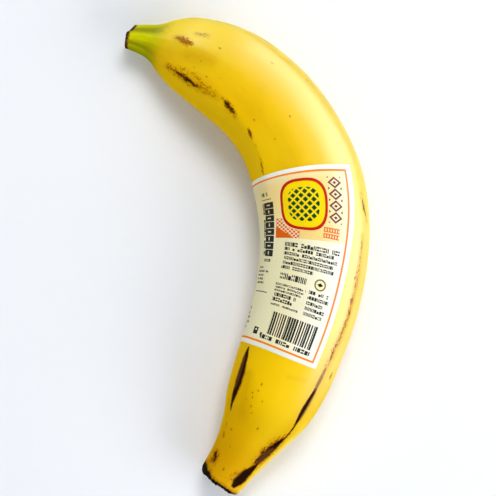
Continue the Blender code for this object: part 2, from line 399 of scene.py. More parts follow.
def numbered(points):
    """The number of each point of a grid."""
    return np.arange(points[..., 0].size).reshape(points.shape[:2])


def add_value(mesh, name, values):
    """Stores one number for each vertex under this name."""
    attribute = mesh.attributes.new(name, "FLOAT", "POINT")
    attribute.data.foreach_set("value", values.ravel().astype(np.float32))


def add_map(mesh, name, places):
    """Stores a flat place for each corner of each face under this name."""
    layer = mesh.uv_layers.new(name=name)
    layer.uv.foreach_set("vector", places.reshape(-1).astype(np.float32))


def put_in_scene(data):
    """An object that holds this mesh, light or camera, under the same name."""
    piece = bpy.data.objects.new(data.name, data)
    bpy.context.scene.collection.objects.link(piece)
    return piece


# Where a Mix node keeps its share and its two colours, and its mixed colour.
MIX_INPUTS = (0, 6, 7)
MIX_OUTPUT = 2


def maths(operation, swapped=False):
    """A method that adds a Math node after its own wire."""

    def method(self, *others):
        values = [self, *others]
        if swapped:
            values.reverse()
        inputs = dict(enumerate(values))
        return self.finish.node("Math", {"operation": operation}, inputs)

    return method


class Wire:
    """A socket in a material. Plus, minus, times and the rest add Math nodes after it."""

    def __init__(self, finish, socket):
        self.finish = finish
        self.socket = socket

    __add__ = __radd__ = maths("ADD")
    __sub__ = maths("SUBTRACT")
    __rsub__ = maths("SUBTRACT", swapped=True)
    __mul__ = __rmul__ = maths("MULTIPLY")
    __truediv__ = maths("DIVIDE")
    __rtruediv__ = maths("DIVIDE", swapped=True)
    __pow__ = maths("POWER")
    __mod__ = maths("FLOORED_MODULO")
    __gt__ = maths("GREATER_THAN")
    __lt__ = maths("LESS_THAN")
    __abs__ = maths("ABSOLUTE")
    floor = maths("FLOOR")
    cos = maths("COSINE")
    sin = maths("SINE")
    at_least = maths("MAXIMUM")
    at_most = maths("MINIMUM")

    def held(self):
        """The same value, held between 0 and 1."""
        return self.at_least(0.0).at_most(1.0)

    def between(self, low, high):
        """1 where the value is between low and high, and 0 elsewhere."""
        return (self > low) * (self < high)

    def ease(self, low, high):
        """0 below low, 1 above high, and a soft step between. Low may be the larger."""
        inputs = {"Value": self, "From Min": low, "From Max": high}
        return self.finish.node("MapRange", {"interpolation_type": "SMOOTHSTEP"}, inputs)


class Finish:
    """A material, made by adding nodes to it."""

    def __init__(self, name):
        self.material = bpy.data.materials.new(name)
        self.material.use_nodes = True
        self.tree = self.material.node_tree
        self.shader = self.tree.nodes["Principled BSDF"]

    def node(self, kind, settings=None, inputs=None, output=0):
        """Adds a node, sets it up, then fills its sockets with values or wires."""
        made = self.tree.nodes.new("ShaderNode" + kind)
        for key, value in (settings or {}).items():
            setattr(made, key, value)
        for key, value in (inputs or {}).items():
            self.fill(made.inputs[key], value)
        return Wire(self, made.outputs[output])

    def fill(self, socket, value):
        if isinstance(value, Wire):
            self.tree.links.new(value.socket, socket)
        elif socket.type == "RGBA" and len(value) == 3:
            socket.default_value = (*value, 1.0)
        else:
            socket.default_value = value

    def surface(self, **inputs):
        """Fills the shader's own sockets. Underscores stand for spaces in their names."""
        for name, value in inputs.items():
            self.fill(self.shader.inputs[name.replace("_", " ")], value)

    def mix(self, share, first, second):
        """A colour mixed from two, with this share of the second."""
        inputs = dict(zip(MIX_INPUTS, (share, first, second)))
        return self.node("Mix", {"data_type": "RGBA"}, inputs, MIX_OUTPUT)

    def over(self, colour, *layers):
        """A colour with others laid over it in turn. Each is how much of it shows, and itself."""
        for share, layer in layers:
            colour = self.mix(share, colour, layer)
        return colour

    def vector(self, x, y, z=0.0):
        return self.node("CombineXYZ", None, {"X": x, "Y": y, "Z": z})

    def noise(self, vector, size, detail, roughness, stretch=1.0):
        """Noise from 0 to 1 with lumps of that size, drawn out along the third axis."""
        inputs = {0: vector, 1: (1 / size, 1 / size, 1 / (size * stretch))}
        places = self.node("VectorMath", {"operation": "MULTIPLY"}, inputs)
        inputs = {"Vector": places, "Scale": 1.0, "Detail": detail, "Roughness": roughness}
        return self.node("TexNoise", None, inputs)

    def chance(self, vector):
        """A random number from 0 to 1 for each different vector."""
        return self.node("TexWhiteNoise", {"noise_dimensions": "2D"}, {"Vector": vector})

    def value_of(self, name):
        """The number stored on the mesh under this name."""
        return self.node("Attribute", {"attribute_name": name}, None, "Fac")

    def place_on(self, name):
        """The two numbers of a flat map, as two wires."""
        flat = self.node("UVMap", {"uv_map": name})
        parts = self.node("SeparateXYZ", None, {0: flat})
        return parts, Wire(self, parts.socket.node.outputs[1])

    def bump(self, height, strength, depth):
        inputs = {"Height": height, "Strength": strength, "Distance": depth}
        return self.node("Bump", None, inputs)


def tint(what, default):
    """A colour that can be changed in the panel."""
    return FloatVectorProperty(
        name=what.capitalize(), description=f"Colour of the {what}", subtype="COLOR", size=3,
        min=0.0, max=1.0, default=default,
    )


def number(name, description, default, low, high, **kind):
    """A number that can be changed in the panel."""
    return FloatProperty(
        name=name, description=description, default=default, min=low, max=high, **kind
    )


class BananaSkinSettings(bpy.types.PropertyGroup):
    rings: IntProperty(
        name="Rings", description="Rings of faces along the body", default=450, min=50, max=500
    )
    sides: IntProperty(
        name="Sides", description="Faces round each ring", default=160, min=24, max=180
    )
    ripe: tint("ripe skin", (0.88, 0.52, 0.001))
    deep: tint("riper patches", (0.8, 0.44, 0.001))
    lemon: tint("palest skin", (0.97, 0.7, 0.015))
    # Deeper orange near the blossom end: partly the skin's own ripening, partly painted shade on
    # the inner side.
    tip: tint("skin near the blossom end", (0.82, 0.45, 0.001))
    # Painted light: a brighter patch on the lower body, and on the inner side and its edge.
    painted_light: tint("brightest patch", (0.99, 0.61, 0.001))
    # The next two are painted reflection: pale sheen on the outer bulge, and a pale rim along the
    # outer side.
    painted_sheen: tint("pale bloom on the bulge", (0.94, 0.68, 0.15))
    rim: tint("pale rim of the outer side", (0.94, 0.77, 0.22))
    pale: tint("outer side", (0.86, 0.57, 0.008))
    # Painted shade: darker skin at the blossom end.
    painted_tip_shade: tint("darkest tip", (0.68, 0.33, 0.001))
    stem: tint("stem", (0.65, 0.63, 0.002))
    # Painted shade in the stem's grooves and underneath, and its dark fibre streaks.
    stem_streaks_and_shade: tint("stem's grooves", (0.17, 0.17, 0.002))
    scar: tint("dried scars", (0.018, 0.006, 0.002))
    bruise: tint("soft brown marks", (0.41, 0.125, 0.0005))
    freckle: tint("freckles", (0.33, 0.09, 0.001))
    smudge: tint("faint smudges", (0.7, 0.37, 0.001))
    roughness: number("Roughness", "How dull the wax on it is", 0.4, 0, 1, subtype="FACTOR")
    sheen: number("Sheen", "How much the wax on it reflects", 0.0115, 0, 1, subtype="FACTOR")


class BananaLabelSettings(bpy.types.PropertyGroup):
    thickness: number(
        "Thickness", "Thickness of the label's paper", 0.00014, 0.00005, 0.0005, unit="LENGTH",
        precision=5,
    )
    paper: tint("label's margin", (0.93, 0.91, 0.8))
    ground: tint("printed ground", (0.91, 0.84, 0.51))
    keyline: tint("printed border", (0.95, 0.23, 0.0))
    panel: tint("upper panel", (0.95, 0.69, 0.23))
    panel_pale: tint("panel's paler side", (0.95, 0.84, 0.56))
    orange: tint("small blocks and checks", (0.8, 0.13, 0.004))
    badge: tint("badge's ground", (0.95, 0.7, 0.0))
    badge_line: tint("badge's outline", (0.55, 0.01, 0.003))
    green: tint("badge's pattern", (0.004, 0.05, 0.016))
    ink: tint("printed rows and bars", (0.012, 0.012, 0.014))
    plum: tint("marks beside the badge", (0.16, 0.03, 0.06))


class BananaStageSettings(bpy.types.PropertyGroup):
    camera_height: number(
        "Camera height", "Height of the camera over the surface", 0.6, 0.2, 3, unit="LENGTH"
    )
    field: number(
        "Field", "Width of the picture at the middle of the fruit", 0.16685, 0.05, 1,
        unit="LENGTH", precision=4,
    )
    roll: number(
        "Roll", "How far the camera is turned about its own line of sight", np.radians(-12),
        -np.pi, np.pi, subtype="ANGLE",
    )
    brightness: number("Brightness", "Brightness of all the lights", 1, 0, 10)
    fill: tint("fill lights", (0.88, 0.94, 1.0))
    floor: tint("floor", (0.895, 0.908, 0.94))


def fruit_grid(rings, sides):
    """Each row's place in the map, and each point's distance, direction and share."""
    cut = np.linspace(0, 1, CUT_ROWS)[:-1] ** 0.8
    body = np.linspace(0, BODY_LENGTH, rings)
    turn = np.linspace(0, np.pi / 2, END_ROWS)[1:]
    depth = np.sin(turn)
    end = np.maximum(1 - depth**BLUNT_END_SQUARENESS, 0) ** (1 / BLUNT_END_SQUARENESS)
    at = np.concatenate((cut * 0, body, BODY_LENGTH + BLUNT_END_LENGTH * depth))
    share = np.concatenate((cut, body * 0 + 1, end))
    past = BODY_LENGTH + BLUNT_END_LENGTH * depth + END_RADIUS * (1 - end)
    place = np.concatenate((CUT_RADIUS * (cut - 1), body, past))
    around = np.arange(sides) * 2 * np.pi / sides
    at, direction = np.meshgrid(at, around, indexing="ij")
    share = np.repeat(share[:, None], sides, axis=1)
    return (place + CUT_RADIUS) / MAP_LENGTH, at, direction, share


def fruit_points(skin, at, direction, share):
    """The fruit's fine surface, with its relief, torn stem and crumbling blossom end."""
    places = straightened(at, direction)
    torn = ease(at, 2.5, 0) * (0.30 * wobble(places, 2) + 0.12 * wobble(places, 0.9))
    cut_fibres = (1 - share) * ease(at, 1, 0) * 0.5 * wobble(places * share[..., None], 1.6)
    crumbling = ease(at, BODY_LENGTH + 0.4, BODY_LENGTH + 2.6)
    crumbs = 0.35 * wobble(places, 2.6) + 0.22 * wobble(places, 1.1)
    pit = 1.3 * ease(share, 0.78, 0.45) - 0.9 * ease(share, 0.22, 0.05)
    pit = pit * ease(at, BODY_LENGTH - 1, BODY_LENGTH)
    moved = at + snap_setback(at, direction, share) + torn + cut_fibres + crumbling * crumbs - pit
    points = skin.plain(moved, direction, share)
    return points, skin_relief(at, direction) + crumbling * 0.3 * wobble(places, 1.5)


def make_fruit(skin, settings):
    """The fruit's mesh, with a flat map and the strength of its marks stored on it."""
    sides = settings.sides
    place, at, direction, share = fruit_grid(settings.rings, sides)
    points, relief = fruit_points(skin, at, direction, share)
    normals = normals_of(points, closed_round=True)
    points = points + normals * (relief * (share > 0.05))[..., None]
    points[..., 2] = np.maximum(points[..., 2], 0.0)
    mesh = mesh_of("banana_skin", points, grid_faces(numbered(points), closed_round=True))
    for name, marks in MARKS.items():
        add_value(mesh, name, closeness(at, direction, marks))
    add_value(mesh, "girth", girth_at(at))
    u = (np.arange(sides)[:, None] + np.array((0, 1, 1, 0))) / sides
    v = np.stack((place[:-1], place[:-1], place[1:], place[1:]), axis=-1)
    add_map(mesh, MAP, np.stack(np.broadcast_arrays(u[None], v[:, None]), axis=-1))
    mesh.shade_smooth()
    return put_in_scene(mesh)


# The wax is a coat with a high IOR and very little of it, so that low views don't glare.
WAX_IOR = 4.0
WAX_ROUGHNESS = 0.42
DRY_ROUGHNESS = 0.75
SKIN_BUMP = 0.35
SKIN_BUMP_DEPTH = 0.0001
PLAIN_IOR = 1.45


class SkinFinish(Finish):
    """The skin's material, with each point's place and the noises that its colours share."""

    def __init__(self):
        super().__init__("banana_skin")
        u, v = self.place_on(MAP)
        self.distance = v * MAP_LENGTH - CUT_RADIUS
        self.turn = u * (2 * np.pi)
        girth = self.value_of("girth")
        places = self.vector(self.turn.cos() * girth, self.turn.sin() * girth, self.distance)
        self.mottle = self.noise(places, 14, 3, 0.55, 1.8)
        self.broad = self.noise(places, 22, 2, 0.5, 1.5)
        self.fibres = self.noise(places, 0.9, 3, 0.6, 22)
        self.grain = self.noise(places, 0.34, 2, 0.6, 2.5)
        self.ragged = self.noise(places, 1, 4, 0.7, 3.2)
        self.pith = self.noise(places, 0.7, 3, 0.6)

    def facing(self, degrees, low, high):
        """How far the skin faces this direction round the fruit."""
        return (self.turn - np.radians(degrees)).cos().ease(low, high)


def yellow_skin(f, look):
    """Ripe yellow: lemon at the neck, deeper at the tip, painted reflection on the outer rim and
    bulge, painted light below and on the inner side, painted shade at the blossom end.
    """
    at = f.distance
    # Painted light: a brighter patch on top of the lower body, and painted bounce light on the
    # inner side and its lower edge.
    painted_light = at.ease(128, 148) * at.ease(172, 156) * f.facing(84, 0.25, 1)
    inner_side_painted_light = f.facing(190, 0, 0.8) * at.ease(150, 125)
    outer_side = f.facing(10, -0.35, 0.85)
    # Painted reflection: pale sheen on the outer bulge, and a pale rim along the outer side and
    # near the blossom end.
    painted_sheen = f.facing(15, 0.5, 0.95) * at.ease(86, 110) * at.ease(160, 138)
    rim = f.facing(0, 0.7, 1) * at.ease(12, 28) * at.ease(120, 95)
    end_rim_reflection = f.facing(0, 0.8, 0.97) * at.ease(155, 170)
    inner_edge_painted_light = f.facing(186, 0.75, 1) * at.ease(140, 155) * at.ease(186, 174)
    return f.over(
        look.ripe,
        (f.mottle.ease(0.35, 0.75), look.deep),
        (f.broad.ease(0.45, 0.8) * 0.5, look.lemon),
        (f.fibres.ease(0.3, 0.8) * 0.14, look.lemon),
        # Deeper orange towards the blossom end: partly ripening, and partly painted shade on the
        # inner side.
        (at.ease(135, 172) * f.facing(150, -0.7, 0.6) * 0.85, look.tip),
        ((painted_light * 0.9).at_least(inner_side_painted_light * 0.8), look.painted_light),
        (outer_side * 0.85, look.pale),
        (outer_side * at.ease(46, 20), look.lemon),
        (painted_sheen * 0.9, look.painted_sheen),
        ((rim * 0.75).at_least(end_rim_reflection * 0.5), look.rim),
        # Painted shade at the blossom end, on its inner side and on its top.
        (at.ease(162, 190) * f.facing(165, -0.8, 0.5) * 0.5, look.painted_tip_shade),
        (at.ease(172, 184) * f.facing(100, 0.1, 0.85) * 0.55, look.painted_tip_shade),
        (inner_edge_painted_light * 0.7, look.painted_light),
    )


def stem_skin(f, look):
    """The stem's green, with painted shade in its grooves and underneath, and dark fibre streaks.
    """
    # Painted shade: darker between the stem's ridges, in two grooves and on its underside.
    valley_shade = ((f.turn - np.radians(50)) * 6).cos().ease(-0.2, 1)
    groove_shade = abs(f.turn - np.radians(117) - f.distance * 0.012).ease(0.3, 0.04)
    upper_groove_shade = abs(f.turn - np.radians(52)).ease(0.42, 0.06)
    groove_shade = (groove_shade * 0.75).at_least(upper_groove_shade * 0.5)
    underside_shade = f.facing(185, -0.1, 0.75) * 0.45
    return f.over(
        look.stem,
        (valley_shade * 0.35, look.stem_streaks_and_shade),
        (f.fibres.ease(0.35, 0.8) * 0.22, look.stem_streaks_and_shade),
        (groove_shade.at_least(underside_shade), look.stem_streaks_and_shade),
    )


def marked_skin(f, look, colour):
    """The skin's colour with its marks on it, and how far they leave it dry."""
    grain, fibres, brown = f.grain - 0.5, f.fibres, look.bruise
    break_up = (f.ragged - 0.5) * 1.5 + grain * 0.6
    smudge = f.value_of("smudge") + (f.mottle - 0.5) * 0.5
    bruise = f.value_of("bruise")
    bruised = bruise + (break_up * 1.5 + grain * 2.2) * bruise.ease(0, 0.2)
    bruised = bruised.ease(0.28, 0.85)
    freckle = f.value_of("freckle") + grain * 0.5
    scuff = f.value_of("scuff") + (fibres - 0.5) * 1.4
    scuffed = f.mix(fibres.ease(0.35, 0.7), (0.11, 0.04, 0.008), (0.36, 0.17, 0.02))
    soft_scar = f.value_of("scar")
    scar = soft_scar + (break_up + grain * 0.5) * soft_scar.ease(0, 0.2)
    sliver = f.value_of("sliver")
    sliver = sliver + break_up * sliver.ease(0, 0.2) * 0.42
    dead = scar.ease(0.42, 0.92).at_least(sliver.ease(0.4, 0.72))
    dried = f.over(
        look.scar,
        (fibres.ease(0.45, 0.75) * 0.35, (0.06, 0.022, 0.006)),
        (scuff.ease(0.35, 0.9) * 0.8, (0.12, 0.045, 0.012)),
    )
    colour = f.over(
        colour,
        (smudge.ease(0.05, 0.9) * 0.75, look.smudge),
        (bruise.ease(0.1, 1) * 0.35, brown),
        (bruised, brown),
        (freckle.ease(0.38, 0.88) * 0.75, look.freckle),
        (scuff.ease(0.25, 0.65) * 0.85, scuffed),
        (soft_scar.ease(0.1, 0.9) * 0.45, brown),
        (scar.at_least(sliver).ease(0.22, 0.55) * 0.65, brown),
        (dead, dried),
    )
    return colour, dead.at_least(bruised).at_least(scuff.ease(0.3, 0.7) * 0.7)


def bare_ends(f, look, colour):
    """The colour with the black blossom end and the brown cut on it, and where they are."""
    ragged = f.ragged - 0.5
    tip = f.distance + ragged * 4 + f.facing(168, 0.55, 1) * 3.2
    black = tip.ease(BODY_LENGTH + 1.7, BODY_LENGTH + 2.5)
    crust = f.mix(f.grain.ease(0.5, 0.8), (0.01, 0.008, 0.005), (0.05, 0.035, 0.022))
    stem_end = f.distance + ragged * 2.4 + (f.grain - 0.5) * 1.2
    cut = stem_end.ease(1.15, 0.75)
    pith = f.mix(f.pith.ease(0.4, 0.7), (0.035, 0.014, 0.006), (0.12, 0.06, 0.02))
    colour = f.over(
        colour,
        (tip.ease(BODY_LENGTH - 0.2, BODY_LENGTH + 2.2) * 0.6, look.bruise),
        (black, crust),
        (stem_end.ease(1.6, 0.9) * 0.6, look.bruise),
        (cut, pith),
    )
    return colour, black.at_least(cut)


def fruit_finish(look):
    """Waxy yellow skin, a green stem, dried scars along the ridges and a black crumbling end."""
    f = SkinFinish()
    neck = f.distance + (f.broad - 0.5) * 4 + (f.fibres - 0.5) * 4
    stem = neck.ease(15.5, 8)
    colour = f.mix(stem, yellow_skin(f, look), stem_skin(f, look))
    colour, dry = marked_skin(f, look, colour)
    colour, bare = bare_ends(f, look, colour)
    dry = dry.at_least(bare)
    rough = (f.mottle - 0.5) * 0.12 + (f.grain - 0.5) * 0.1 + look.roughness
    rough = rough + dry * (DRY_ROUGHNESS - look.roughness) + stem * 0.25
    height = f.grain * 0.25 + f.fibres * 0.55 + dry * (f.ragged * 4 - 1)
    wax = (1 - dry) * (1 - stem * 0.9) * look.sheen
    wax = wax * (1 - f.distance.ease(148, 170) * 0.55)
    f.surface(
        Base_Color=colour, Roughness=rough.held(), IOR=PLAIN_IOR,
        Normal=f.bump(height, SKIN_BUMP, SKIN_BUMP_DEPTH), Specular_IOR_Level=0,
        Coat_Weight=wax, Coat_Roughness=WAX_ROUGHNESS, Coat_IOR=WAX_IOR,
    )
    return f.material


def label_places():
    """Distances and directions of the label's fine grid, and the place of each point in print."""
    rows, columns = np.linspace(0, 1, LABEL_ROWS), np.linspace(0, 1, LABEL_COLUMNS)
    down, around = np.meshgrid(rows, columns, indexing="ij")
    halves = np.array((0.0, 0.5, 1.0))
    top = smooth(halves, LABEL_TOP_EDGE, around)
    bottom = smooth(halves, LABEL_BOTTOM_EDGE, around)
    outer = smooth(halves, LABEL_OUTER_EDGE, down)
    distance = top * (1 - down) + bottom * down
    direction = np.radians(outer * (1 - around) + LABEL_FAR_EDGE * around)
    x = PRINT_TRIM + around * (PRINT_WIDTH - PRINT_TRIM)
    return distance, direction, x, down * PRINT_HEIGHT


def make_label(skin, settings):
    """The label's mesh: a thin closed sheet pressed on the skin, with its edges just lifting."""
    distance, direction, x, y = label_places()
    points = skin.plain(distance, direction)
    normals = normals_of(points)
    edge = np.min((x - PRINT_TRIM, PRINT_WIDTH - x, y, PRINT_HEIGHT - y), axis=0)
    places = straightened(distance, direction)
    lift = 0.05 + 0.10 * ease(edge, 2, 0) * (0.6 + 0.4 * wobble(places, 9))
    ripples = 0.05 * ease(np.degrees(direction), 120, 190) * wobble(places, 6, 0.35)
    height = skin_relief(distance, direction) + lift + np.abs(ripples)
    inner = points + normals * height[..., None]
    outer = inner + normals * (settings.thickness / MM)
    index = numbered(points)
    front = grid_faces(index)
    back = front[:, ::-1] + index.size
    loop = np.concatenate((index[0, :-1], index[:-1, -1], index[-1, :0:-1], index[:0:-1, 0]))
    following = np.roll(loop, -1)
    rim = np.stack((following, loop, loop + index.size, following + index.size), axis=-1)
    faces = np.concatenate((front, back, rim))
    mesh = mesh_of("printed_label", np.stack((outer, inner)), faces)
    printed = np.tile(np.stack((x, y), axis=-1).reshape(-1, 2), (2, 1))
    add_map(mesh, PRINT_MAP, printed[faces])
    share = (printed - (PRINT_TRIM, 0)) / (PRINT_WIDTH - PRINT_TRIM, PRINT_HEIGHT)
    flat = share[faces]
    flat[: len(front), :, 0] *= PRINT_SHARE
    flat[len(front) :, :, 0] = BACK_FROM + (1 - BACK_FROM) * flat[len(front) :, :, 0]
    edges = flat[-len(rim) :]
    edges[:, :, 0] = EDGES_FROM + EDGES_SHARE * (np.arange(4) > 1)
    edges[:, :, 1] = (np.arange(len(rim))[:, None] + np.array((1, 0, 0, 1))) / len(rim)
    add_map(mesh, MAP, flat)
    slots = np.zeros(len(faces), np.int32)
    slots[len(front) :] = 1
    mesh.polygons.foreach_set("material_index", slots)
    mesh.shade_smooth()
    mesh.set_sharp_from_angle(angle=np.radians(50))
    return put_in_scene(mesh)


def rect(x, y, left, right, top, bottom):
    """1 inside this box on the label, and 0 elsewhere."""
    return x.between(left, right) * y.between(top, bottom)


# Blocks of print on the label, in millimetres from its outer edge and its top: left, right, top,
# bottom, rows, length of a mark, share of a row that marks fill, how uneven the rows' ends are,
# and "down" where the rows run down the label instead of across it.
PRINT_BLOCKS = (
    (4.6, 23.6, 27.7, 29.5, 1, 1.05, 0.84, 0),
    (4.8, 23.6, 29.6, 36.5, 4, 0.9, 0.66, 0.1),
    (12.4, 23.9, 36.5, 38.3, 1, 0.9, 0.66, 0),
    (14, 23.8, 39.4, 41.8, 1, 1.3, 0.9, 0),
    (13.4, 24.9, 43.4, 47, 3, 0.72, 0.62, 0.15),
    (15.4, 25, 47.1, 50.8, 2, 0.95, 0.72, 0.3),
    (14.4, 25.2, 51.2, 52.1, 1, 0.5, 0.8, 0),
    (4.6, 12.4, 43, 52.6, 5, 1, 0.6, 0.45),
    (28.8, 33.2, 7, 8.7, 1, 0.8, 0.9, 0),
    (32, 33.8, 11.6, 33.4, 1, 1.1, 0.95, 0, "down"),
    (28.6, 32.6, 35, 36.2, 1, 0.7, 0.9, 0),
    (28.6, 37.3, 38, 45.6, 5, 0.8, 0.52, 0.5),
    (34.6, 43, 54.2, 63.4, 5, 0.9, 0.55, 0.45),
    (4.9, 25.3, 63.2, 64.8, 1, 1.45, 0.92, 0),
)

# Boxes of the label's design, measured in the same way: left, right, top and bottom.
BORDER = (2.4, PRINT_WIDTH - 2.4, 1.5, 66.4)
WITHIN_BORDER = (3.1, PRINT_WIDTH - 3.1, 2.2, 65.7)
PANEL_RIGHT = 27.2
CHECKS = (18.6, PANEL_RIGHT, 18.6, 30)
CHAIN = (5, 9.6, 4, 19)
SMALL_BLOCKS = (5.6, 11, 20.6, 24.4)
BARS = (5.2, 23.3, 54.1, 62.6)
TALL_COLUMN = (27.9, 32.3, 11.4, 34.2)
DASHES = ((27.8, 37.1, 47.9, 48.25), (28.4, 33.6, 9.9, 10.2))
LOW_BLOCKS = ((27, 28.9, 61.4, 64), (24.9, 25.7, 62.8, 64))

BADGE_MIDDLE = (17.6, 13.3)
BADGE_HALF = (7.6, 9.3)
LATTICE_STEP = 2.6
CHECK_SIZE = 0.75
SEAL_MIDDLE = (9.1, 40.3)
COLUMN_MIDDLE = 30.0
BAR_UNIT = 0.93
PAPER_BUMP_DEPTH = 0.00003


def printed_marks(f, x, y):
    """Rows of small plain blocks that stand for words, with gaps, slits and splits."""
    sums = (0.01, 0, 0, 0, 0, 0)
    for number, block in enumerate(PRINT_BLOCKS):
        left, right, top, bottom, rows, length, fill, ends, *turned = block
        across, down = (x - left) / (right - left), (y - top) / (bottom - top)
        run, share, depth = (y, down, across) if turned else (x, across, down)
        values = (fill, run / length, depth * rows + number * 9, share, ends, 1)
        inside = rect(x, y, left, right, top, bottom)
        sums = [inside * value + total for value, total in zip(values, sums)]
    filled, along, line, share, uneven, inside = sums
    place, number = along % 1, along.floor()
    height, row = (line % 1) / filled, line.floor()
    gap = f.chance(f.vector(number, row)) < 0.09
    shape = f.chance(f.vector(number + 200, row))
    end = f.chance(f.vector(row, 77)) * uneven
    slit = (abs(place - 0.49) < 0.11) * (shape < 0.40)
    split = (abs(height - 0.5) < 0.12) * shape.between(0.34, 0.62)
    short = (height < 0.30) * shape.between(0.66, 0.80)
    marks = inside * place.between(0.07, 0.92) * (height < 1) * (share > end)
    return marks * (1 - gap) * (1 - slit) * (1 - split) * (1 - short)


def label_ground(f, x, y, look):
    """The label's margin, ground, upper panel and border, and where the panel is."""
    inside = rect(x, y, *BORDER)
    panel = inside * (y < x * 0.066 + 24.7) * (x < PANEL_RIGHT)
    pale = x.ease(13, 3).at_least(y.ease(6, 1.5) * 0.6)
    panel_colour = f.mix(pale, look.panel, look.panel_pale)
    glow = y.ease(28, 12) * x.ease(46, 26) * 0.85
    margin = f.over(
        look.paper,
        (y.ease(6, 40) * x.ease(34, 8), (0.89, 0.865, 0.775)),
        # Painted shade tint: the margin warmer on its inner, shaded side.
        (x.ease(22, 44) * 0.8, (0.98, 0.9, 0.62)),
    )
    colour = f.over(
        look.paper,
        (x.ease(2, 22), look.ground),
        (y.ease(40, 68) * x.ease(18, 45) * 0.5, (0.86, 0.84, 0.72)),
        (glow.at_least(panel * x.ease(PANEL_RIGHT, 20)), panel_colour),
        (inside * (1 - rect(x, y, *WITHIN_BORDER)), look.keyline),
    )
    return f.mix(inside, margin, colour), panel


def badge_design(f, x, y, look, colour, panel):
    """The colour with the badge, the checks beside it, the chain and the small blocks."""
    across, down = (x - BADGE_MIDDLE[0]) / BADGE_HALF[0], (y - BADGE_MIDDLE[1]) / BADGE_HALF[1]
    badge = (abs(across) ** 3 + abs(down) ** 3) ** (1 / 3)
    slant, counter = (x + y * 0.9) / LATTICE_STEP, (x - y * 0.9) / LATTICE_STEP
    lozenge = abs(slant % 1 - 0.5).at_least(abs(counter % 1 - 0.5)) < 0.34
    patch = rect(x, y, *CHECKS) * panel * (badge > 1.04)
    check = ((x / CHECK_SIZE).floor() + (y / CHECK_SIZE).floor()) % 2 > 0.5
    check = check * ((x - CHECKS[0]) * 0.6 + (y - CHECKS[2]) < 8.6)
    diamond = abs(x - 7.3) / 2.3 + abs((y - CHAIN[2]) / 3.75 % 1 - 0.5) / 0.5
    chain = diamond.between(0.62, 1).at_least(diamond < 0.28).at_least(diamond > 1.72)
    row = (y - SMALL_BLOCKS[2]) / 2 % 1
    blocks = rect(x, y, *SMALL_BLOCKS) * (row < 0.82)
    ticks = (abs(x / 0.9 % 1 - 0.5) < 0.2) * (abs(row - 0.41) < 0.22)
    return f.over(
        colour,
        (patch, look.orange),
        (patch * check * 0.8, look.panel_pale),
        (badge < 1, look.badge_line),
        (badge < 0.89, look.badge),
        ((badge < 0.66) * lozenge, look.green),
        (rect(x, y, *CHAIN) * chain, look.plum),
        (blocks * (1 - ticks) * 0.9, look.orange),
    )


def dark_print(f, x, y):
    """Where the rows of blocks, the bars, the tall column, the dashes and the low blocks are."""
    bar_share = f.chance(f.vector((x / BAR_UNIT).floor(), 5)) * 0.52 + 0.34
    bars = rect(x, y, *BARS) * (x / BAR_UNIT % 1 < bar_share)
    step = (y - TALL_COLUMN[2]) / 2.85
    apart, place = abs(x - COLUMN_MIDDLE), step % 1
    slot_long = (apart < 0.8) * (abs(place - 0.44) < 0.09) * (step % 2 < 1)
    slot_tall = (apart < 0.26) * (abs(place - 0.44) < 0.22) * (step % 2 > 1)
    column = rect(x, y, *TALL_COLUMN) * (place < 0.9) * (1 - slot_long) * (1 - slot_tall)
    wide, narrow = (rect(x, y, *box) for box in LOW_BLOCKS)
    low_blocks = (wide * (abs(x - 27.9) + abs(y - 62.3) > 0.45)).at_least(narrow)
    printed = printed_marks(f, x, y)
    for more in (bars, column, low_blocks, *(rect(x, y, *box) for box in DASHES)):
        printed = printed.at_least(more)
    return printed


def label_finish(look):
    """Coated cream paper with a printed border, an upper panel with a badge, rows and bars."""
    f = Finish("label_print")
    x, y = f.place_on(PRINT_MAP)
    places = f.vector(x, y)
    fibre = f.noise(places, 0.5, 3, 0.6)
    colour, panel = label_ground(f, x, y, look)
    colour = badge_design(f, x, y, look, colour, panel)
    across, down = x - SEAL_MIDDLE[0], y - SEAL_MIDDLE[1]
    seal = (across * across + down * down) ** 0.5
    colour = f.over(
        colour,
        (dark_print(f, x, y) * 0.98, look.ink),
        (seal < 2.05, (0.22, 0.16, 0.03)),
        (seal < 1.55, (0.9, 0.86, 0.5)),
        (abs(across) / 1.1 + abs(down) / 0.7 < 1, look.ink),
        (fibre.ease(0.35, 0.75) * 0.06, (0.35, 0.3, 0.2)),
    )
    f.surface(
        Base_Color=colour, Roughness=0.4 + (fibre - 0.5) * 0.12, IOR=PLAIN_IOR,
        Normal=f.bump(f.noise(places, 0.25, 3, 0.6), 0.25, PAPER_BUMP_DEPTH),
        Specular_IOR_Level=0.012,
    )
    return f.material


def paper_back_finish():
    """The label's unprinted back and its cut edges: plain white paper fibres."""
    f = Finish("label_back")
    x, y = f.place_on(PRINT_MAP)
    fibre = f.noise(f.vector(x, y), 0.4, 4, 0.65)
    colour = f.mix(fibre.ease(0.3, 0.7), (0.86, 0.85, 0.80), (0.93, 0.92, 0.88))
    f.surface(
        Base_Color=colour, Roughness=0.75 + (fibre - 0.5) * 0.2,
        Normal=f.bump(fibre, 0.3, PAPER_BUMP_DEPTH),
    )
    return f.material


class BANANA_OT_fruit(bpy.types.Operator):
    """Build the banana's skin in place of its plain solid"""

    bl_idname = "banana.fruit"
    bl_label = "Banana"

    def execute(self, context):
        settings = context.scene.banana_skin
        fruit = make_fruit(SKIN, settings)
        fruit.data.materials.append(fruit_finish(settings))
        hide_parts("banana")
        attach(fruit, "root")
        return {"FINISHED"}


